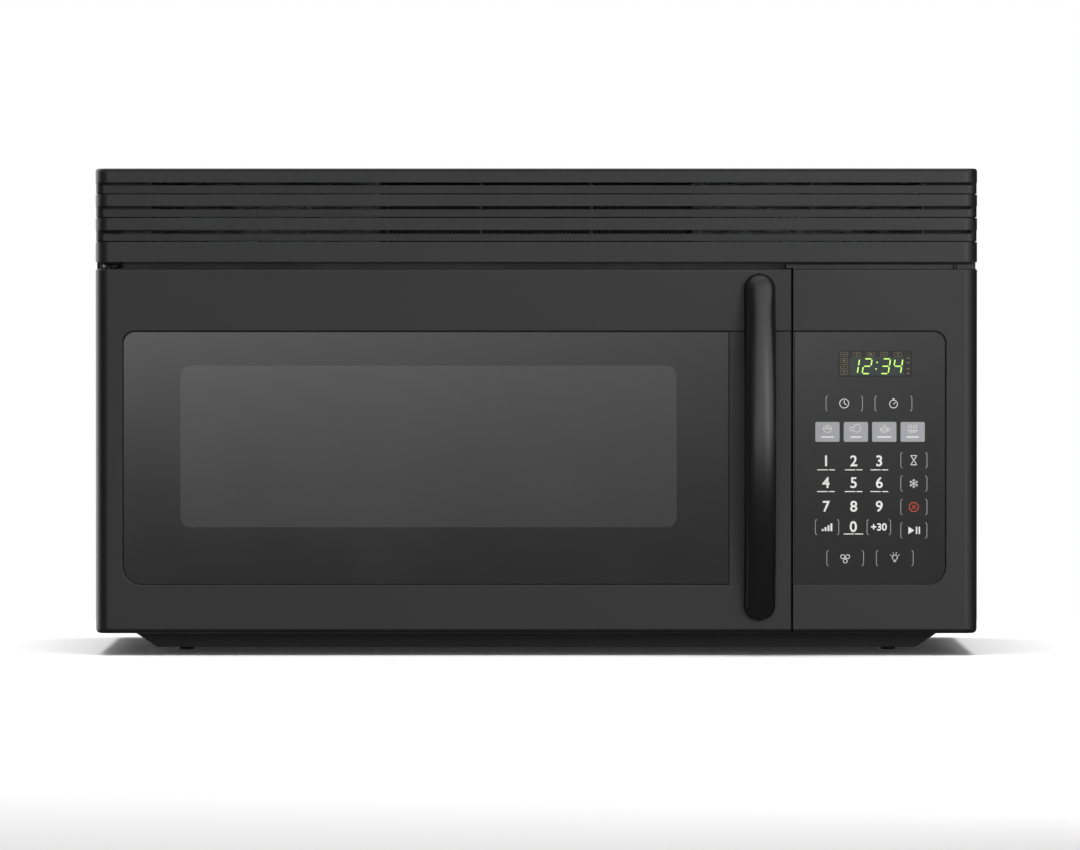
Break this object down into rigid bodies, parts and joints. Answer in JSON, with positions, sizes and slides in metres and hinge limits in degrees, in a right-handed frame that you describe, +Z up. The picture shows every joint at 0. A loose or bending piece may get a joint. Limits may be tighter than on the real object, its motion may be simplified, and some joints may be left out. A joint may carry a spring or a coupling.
{
  "type": "over the range microwave oven",
  "caption": "Wall-hung microwave oven with a louvred vent grille, side-hinged window door, bowed handle, turntable and a two-wheel exhaust blower.",
  "frame": {"origin": "under the middle of the whole, at the bottoms of the feet", "axes": "+X to the right across the front, +Y from the front to the back, +Z up"},
  "size_m": [0.759, 0.436, 0.419],
  "materials": {
    "case_black": "satin black enamel",
    "abs_black": "fine-textured black moulding",
    "gloss_black": "glossy black",
    "dark_glass": "polished tinted glass",
    "clear_plastic": "clear sheet",
    "enamel_grey": "light grey enamel",
    "galvanised": "galvanised sheet",
    "steel_black": "black painted steel",
    "zinc_screw": "zinc plated",
    "spring_steel": "bright wire",
    "lamination": "varnished laminations",
    "copper": "enamelled winding",
    "can_aluminium": "drawn can",
    "board_green": "circuit board",
    "white_plastic": "natural moulding",
    "grey_plastic": "grey moulding",
    "mica": "pressed mica",
    "tray_glass": "pressed glass",
    "lamp_glass": "frosted",
    "filter_mesh": "layered mesh",
    "carbon": "carbon pad",
    "rubber_black": "matt",
    "ceramic_cutout": "moulded"
  },
  "bodies": {
    "cabinet": {"upper_hinge": "steel_black", "lower_hinge": "steel_black", "front_plate": "steel_black", "oven_cavity": "enamel_grey", "waveguide": "galvanised", "waveguide_cover": "mica", "magnetron": "galvanised", "transformer_core": "lamination", "transformer_windings": "copper", "hv_capacitor": "can_aluminium", "hv_diode": "rubber_black", "fan_shroud": "white_plastic", "fan_motor": "lamination", "line_filter": "board_green", "thermal_cutouts": "ceramic_cutout", "lamp_holder": "galvanised", "cavity_lamp": "lamp_glass", "latch_board": "white_plastic", "interlock_switches": "grey_plastic", "turntable_motor": "galvanised", "left_scroll": "galvanised", "right_scroll": "galvanised", "blower_motor": "lamination", "outer_wrap": "case_black", "hanging_nuts": "zinc_screw", "case_screws": "zinc_screw", "rear_plate": "galvanised", "cord_gland": "rubber_black", "base_pan": "case_black", "grease_filters": "filter_mesh", "surface_lamp_lenses": "lamp_glass", "surface_sockets": "white_plastic", "surface_bulbs": "lamp_glass", "feet": "rubber_black", "vent_grille": "abs_black", "charcoal_filter": "carbon", "panel_frame": "abs_black", "key_overlay": "gloss_black", "display_window": "dark_glass", "display_module": "grey_plastic", "control_board": "board_green"},
    "door": {"door_frame": "abs_black", "door_glass": "dark_glass", "choke_panel": "steel_black", "inner_window": "clear_plastic", "choke_cover": "abs_black", "handle": "abs_black", "handle_screws": "zinc_screw", "latch_spring": "spring_steel", "latch_guide": "abs_black"},
    "latch": {"latch_hooks": "grey_plastic"},
    "turntable": {"turntable_coupler": "white_plastic"},
    "tray": {"glass_tray": "tray_glass"},
    "ring": {"roller_ring": "white_plastic"},
    "roller_1": {"roller_1": "white_plastic"},
    "roller_2": {"roller_2": "white_plastic"},
    "roller_3": {"roller_3": "white_plastic"},
    "blower": {"blower_wheels": "grey_plastic", "blower_shaft": "spring_steel"},
    "fan": {"cooling_fan": "white_plastic"}
  },
  "joints": [
    {"name": "door_hinge", "type": "hinge", "parent": "cabinet", "child": "door", "pos_m": [-0.3655, -0.149, 0.17575], "axis": [0, 0, -1], "range_deg": [0, 95]},
    {"name": "latch_lift", "type": "slide", "parent": "door", "child": "latch", "axis": [0, 0, 1], "range_m": [0, 0.0045], "stiffness_N_per_m": 400, "springref_m": -0.01, "deforming": ["latch_spring"]},
    {"name": "turntable_spin", "type": "hinge", "parent": "cabinet", "child": "turntable", "pos_m": [-0.0935, 0.03325, 0.07], "axis": [0, 0, 1], "continuous": true},
    {"name": "tray_lift", "type": "slide", "parent": "turntable", "child": "tray", "axis": [0, 0, 1], "range_m": [0, 0.03]},
    {"name": "ring_spin", "type": "hinge", "parent": "cabinet", "child": "ring", "pos_m": [-0.0935, 0.03325, 0.0711], "axis": [0, 0, 1], "continuous": true},
    {"name": "roller_1_spin", "type": "hinge", "parent": "ring", "child": "roller_1", "pos_m": [0.0085, 0.03325, 0.0711], "axis": [1, 0, 0], "continuous": true},
    {"name": "roller_2_spin", "type": "hinge", "parent": "ring", "child": "roller_2", "pos_m": [-0.1445, 0.12158, 0.0711], "axis": [-0.5, 0.866, 0], "continuous": true},
    {"name": "roller_3_spin", "type": "hinge", "parent": "ring", "child": "roller_3", "pos_m": [-0.1445, -0.05509, 0.0711], "axis": [-0.5, -0.866, 0], "continuous": true},
    {"name": "blower_spin", "type": "hinge", "parent": "cabinet", "child": "blower", "pos_m": [0, 0.144, 0.371], "axis": [1, 0, 0], "continuous": true},
    {"name": "fan_spin", "type": "hinge", "parent": "cabinet", "child": "fan", "pos_m": [0.2745, 0.139, 0.185], "axis": [0, 1, 0], "continuous": true}
  ],
  "couplings": [
    {"joint": "ring_spin", "follows": "turntable_spin", "ratio": 0.5},
    {"joint": "roller_1_spin", "follows": "turntable_spin", "ratio": -5.7954},
    {"joint": "roller_2_spin", "follows": "turntable_spin", "ratio": -5.7954},
    {"joint": "roller_3_spin", "follows": "turntable_spin", "ratio": -5.7954}
  ]
}
